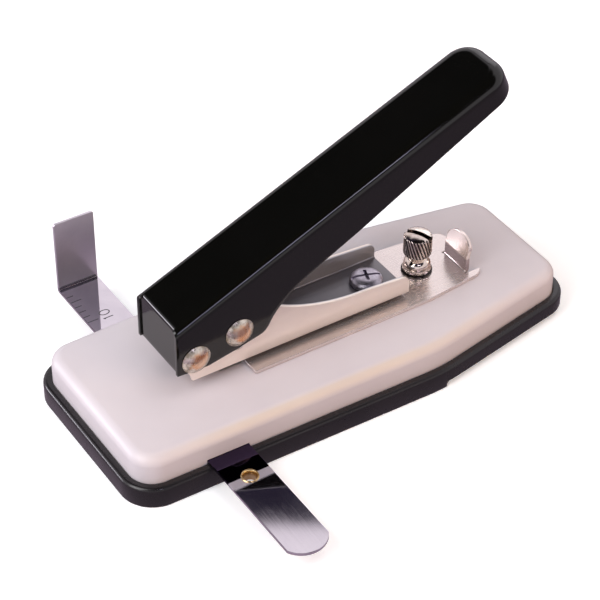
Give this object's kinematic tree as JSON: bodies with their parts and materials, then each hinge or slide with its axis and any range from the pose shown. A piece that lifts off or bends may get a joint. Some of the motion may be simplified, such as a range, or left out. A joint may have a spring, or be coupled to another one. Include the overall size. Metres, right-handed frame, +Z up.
{
  "type": "slot punch",
  "caption": "Table-top slot punch for identity cards: cast base in a black tray, sprung lever, die frame, depth stop with thumb screw and sliding side guide.",
  "frame": {"origin": "on the desk, midway along the cast base plate and on its centre line", "axes": "+X from the hinge end to the handle end, +Y towards the upturned tab of the side guide, +Z up"},
  "size_m": [0.1826, 0.1564, 0.1006],
  "materials": {
    "plate_enamel": "pale warm grey satin enamel",
    "black_plastic": "black moulded plastic, half gloss",
    "zinc_screw": "zinc plated",
    "black_rubber": "matt",
    "tool_steel": "ground",
    "satin_nickel": "satin nickel plated sheet",
    "plain_steel": "machined",
    "bright_nickel": "bright nickel plated",
    "black_enamel": "gloss black stove enamel",
    "spring_steel": "drawn wire and strip",
    "brushed_stop_steel": "brushed along its length",
    "nut_brass": "machined",
    "polished_strip": "polished",
    "eyelet_brass": "bright"
  },
  "bodies": {
    "base": {"base_plate": "plate_enamel", "base_tray": "black_plastic", "tray_screws": "zinc_screw", "rear_feet": "black_rubber", "die_insert": "tool_steel", "die_frame": "satin_nickel", "rear_spacer": "plain_steel", "front_spacer": "plain_steel", "frame_screws": "bright_nickel", "pivot_spacer": "plain_steel", "pivot_rivet": "bright_nickel", "return_springs": "spring_steel", "strip_spring": "spring_steel", "spring_rivets": "plain_steel"},
    "lever": {"lever": "black_enamel", "drive_rivet": "bright_nickel"},
    "ram": {"punch_ram": "plain_steel", "punch_blade": "tool_steel", "blade_pin": "plain_steel"},
    "depth_stop": {"stop_plate": "brushed_stop_steel", "clamp_nut": "nut_brass"},
    "thumb": {"thumb_screw": "bright_nickel"},
    "side_guide": {"guide_strip": "polished_strip", "stop_eyelet": "eyelet_brass"}
  },
  "joints": [
    {"name": "lever_hinge", "type": "hinge", "parent": "base", "child": "lever", "pos_m": [-0.0548, 0, 0.0326], "axis": [0, 1, 0], "range_deg": [0, 17.5], "stiffness_Nm_per_rad": 0.72, "springref_deg": -13.46},
    {"name": "ram_slide", "type": "slide", "parent": "base", "child": "ram", "axis": [0, 0, -1], "range_m": [0, 0.0052], "deforming": ["return_springs"]},
    {"name": "stop_slide", "type": "slide", "parent": "base", "child": "depth_stop", "axis": [1, 0, 0], "range_m": [0, 0.014]},
    {"name": "thumb_turn", "type": "hinge", "parent": "depth_stop", "child": "thumb", "pos_m": [0.0425, 0, 0.02], "axis": [0, 0, 1], "range_deg": [0, 360]},
    {"name": "guide_slide", "type": "slide", "parent": "base", "child": "side_guide", "axis": [0, 1, 0], "range_m": [-0.028, 0.006]}
  ],
  "couplings": [
    {"joint": "ram_slide", "follows": "lever_hinge", "m_per_rad": 0.01696}
  ]
}
